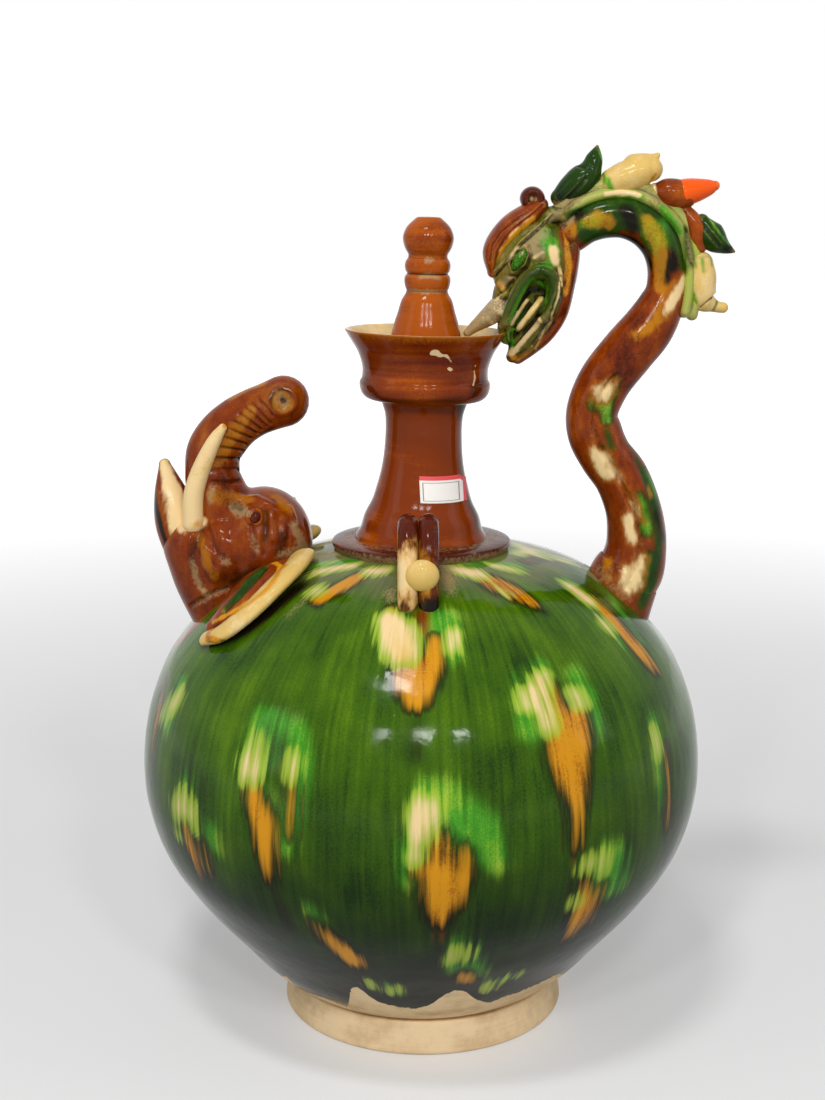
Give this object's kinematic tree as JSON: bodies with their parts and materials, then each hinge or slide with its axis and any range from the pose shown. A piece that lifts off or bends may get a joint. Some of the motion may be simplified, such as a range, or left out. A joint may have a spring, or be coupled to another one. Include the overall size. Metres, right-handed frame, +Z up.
{
  "type": "dragon handled ewer",
  "caption": "Globular glazed earthenware ewer on a spreading foot, with a waisted neck, dished mouth, lift-out stopper, dragon-neck handle biting the rim and elephant-head spout.",
  "frame": {"origin": "centre of the flat underside of the foot, on the surface that the ewer stands on", "axes": "+Z up, spout towards -X, dragon handle towards +X, the side that the picture shows towards -Y"},
  "size_m": [0.2565, 0.2464, 0.3823],
  "materials": {
    "green_glaze": "glossy green lead glaze with cream and amber runs",
    "dark_green_glaze": "glossy dark green glaze",
    "amber_glaze": "glossy amber to brown glaze, streaked",
    "brown_glaze": "glossy dark brown glaze",
    "cream_glaze": "glossy clear to straw glaze over pale slip",
    "orange_glaze": "bright orange tip",
    "bare_clay": "dry unglazed buff clay",
    "label_paper": "matt white paper slip with a red edge, blank"
  },
  "bodies": {
    "ewer": {"foot": "bare_clay", "lower_body": "green_glaze", "upper_body": "green_glaze", "collar_ring": "brown_glaze", "neck": "amber_glaze", "mouth_bowl": "brown_glaze", "blank_label": "label_paper", "dragon_head": "green_glaze", "dragon_lower_jaw": "brown_glaze", "dragon_teeth": "cream_glaze", "rim_bridge": "bare_clay", "dragon_crest": "amber_glaze", "crest_curl": "brown_glaze", "dragon_lip_front": "dark_green_glaze", "dragon_lip_back": "dark_green_glaze", "dragon_eye_front": "green_glaze", "dragon_eye_back": "green_glaze", "dragon_nostril_front": "green_glaze", "dragon_nostril_back": "green_glaze", "dragon_neck": "amber_glaze", "mane_band": "green_glaze", "mane_lock_1": "dark_green_glaze", "mane_lock_2": "cream_glaze", "mane_lock_3": "brown_glaze", "mane_lock_3_tip": "orange_glaze", "mane_lock_4": "brown_glaze", "mane_lock_4_tip": "dark_green_glaze", "mane_lock_5": "cream_glaze", "elephant_head": "amber_glaze", "elephant_lower_jaw": "brown_glaze", "elephant_trunk": "amber_glaze", "tusk_front": "cream_glaze", "tusk_back": "cream_glaze", "elephant_eye_front": "brown_glaze", "elephant_eye_back": "brown_glaze", "ear_front": "amber_glaze", "ear_back": "amber_glaze", "ear_rim_front": "cream_glaze", "ear_rim_back": "cream_glaze", "lug_front_left": "brown_glaze", "lug_front_right": "brown_glaze", "lug_back_left": "brown_glaze", "lug_back_right": "brown_glaze", "lug_button_front": "cream_glaze", "lug_button_back": "cream_glaze"},
    "stopper": {"stopper": "amber_glaze"}
  },
  "joints": [
    {"name": "stopper_lift", "type": "slide", "parent": "ewer", "child": "stopper", "axis": [0.0227, 0, 0.9997], "range_m": [0, 0.12]}
  ]
}
